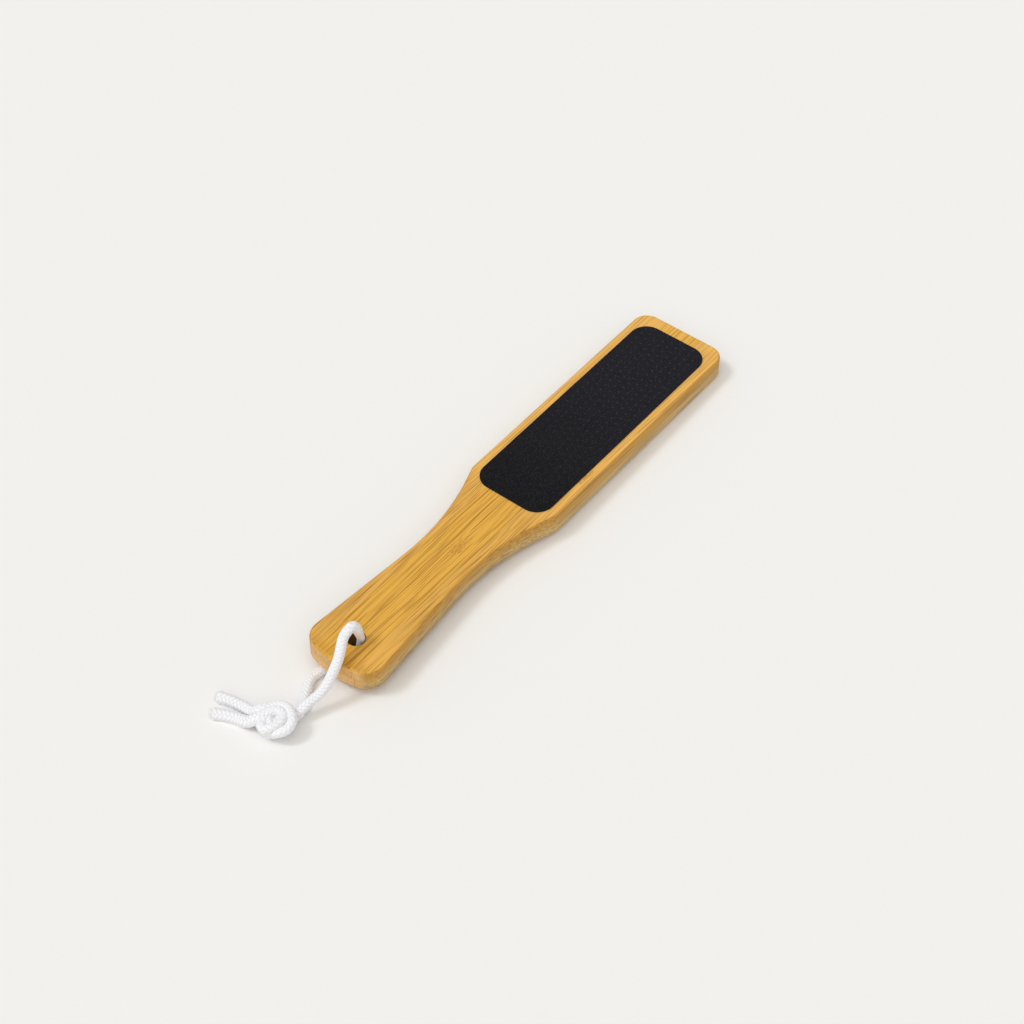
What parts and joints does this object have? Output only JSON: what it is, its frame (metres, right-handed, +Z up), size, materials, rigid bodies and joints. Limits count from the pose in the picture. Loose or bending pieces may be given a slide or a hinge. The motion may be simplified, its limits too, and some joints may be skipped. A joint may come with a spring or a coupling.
{
  "type": "foot file",
  "caption": "Flat foot file: a waisted bamboo paddle with a long black grit pad on its blade and a knotted loop of braided cord through the handle.",
  "frame": {"origin": "centre of the bottom of the paddle's bounding box, on the surface that the foot file lies on; the cord isn't counted", "axes": "+X from the handle end to the blade end, +Y to the left seen from above with the handle near, +Z up, away from the surface"},
  "size_m": [0.3074, 0.0581, 0.0278],
  "materials": {
    "bamboo": "oiled bamboo, satin, fine lengthwise grain",
    "bamboo_dark": "oiled bamboo, satin, a darker strip",
    "adhesive": "clear adhesive film",
    "backing_cloth": "black resin-bonded cloth",
    "grit": "fine black grit with raised dots, matt",
    "cord": "white braided polyester cord"
  },
  "bodies": {
    "paddle": {"front_strip_left": "bamboo", "front_strip_middle": "bamboo", "front_strip_right": "bamboo", "back_strip_left": "bamboo", "back_strip_middle": "bamboo", "back_strip_right": "bamboo_dark", "pad_adhesive_film": "adhesive", "pad_backing_cloth": "backing_cloth", "pad_grit_coat": "grit"},
    "cord": {"cord_over_handle": "cord", "cord_under_handle": "cord", "cord_knot": "cord", "cord_tail_upper": "cord", "cord_tail_lower": "cord"}
  },
  "joints": [
    {"name": "cord_swing", "type": "hinge", "parent": "paddle", "child": "cord", "pos_m": [-0.11458, 0, 0.0098], "axis": [0, 0, 1], "range_deg": [-30, 30]}
  ]
}
